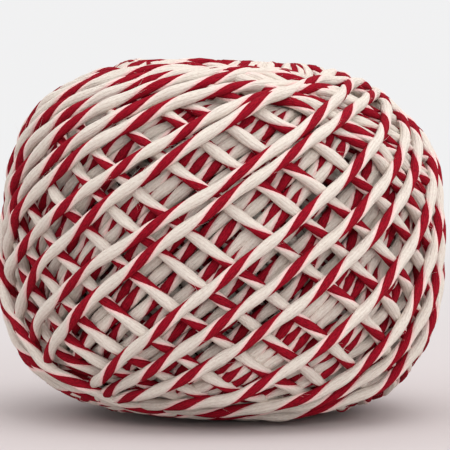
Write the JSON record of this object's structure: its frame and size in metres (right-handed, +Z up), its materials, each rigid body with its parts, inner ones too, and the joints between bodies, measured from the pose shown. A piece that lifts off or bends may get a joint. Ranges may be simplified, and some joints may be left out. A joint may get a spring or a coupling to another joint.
{
  "type": "ball of twine",
  "caption": "Barrel-shaped ball of two-ply cotton twine, cream and red, wound in slanting turns, with a small flat spot to rest on.",
  "frame": {"origin": "on the surface the ball rests on, under the centre of its bounding box", "axes": "+Z up, the shortest way through the ball; -Y is the front, where the outer turns climb to the right; the winding axis leans 2 degrees from +Z towards +X"},
  "size_m": [0.0616, 0.0614, 0.0502],
  "materials": {
    "cream_cotton": "matt soft cotton, natural cream, fine fibres",
    "red_cotton": "matt soft cotton, deep red, fine fibres"
  },
  "bodies": {
    "root": {"twine_ball": "cream_cotton"}
  },
  "joints": []
}
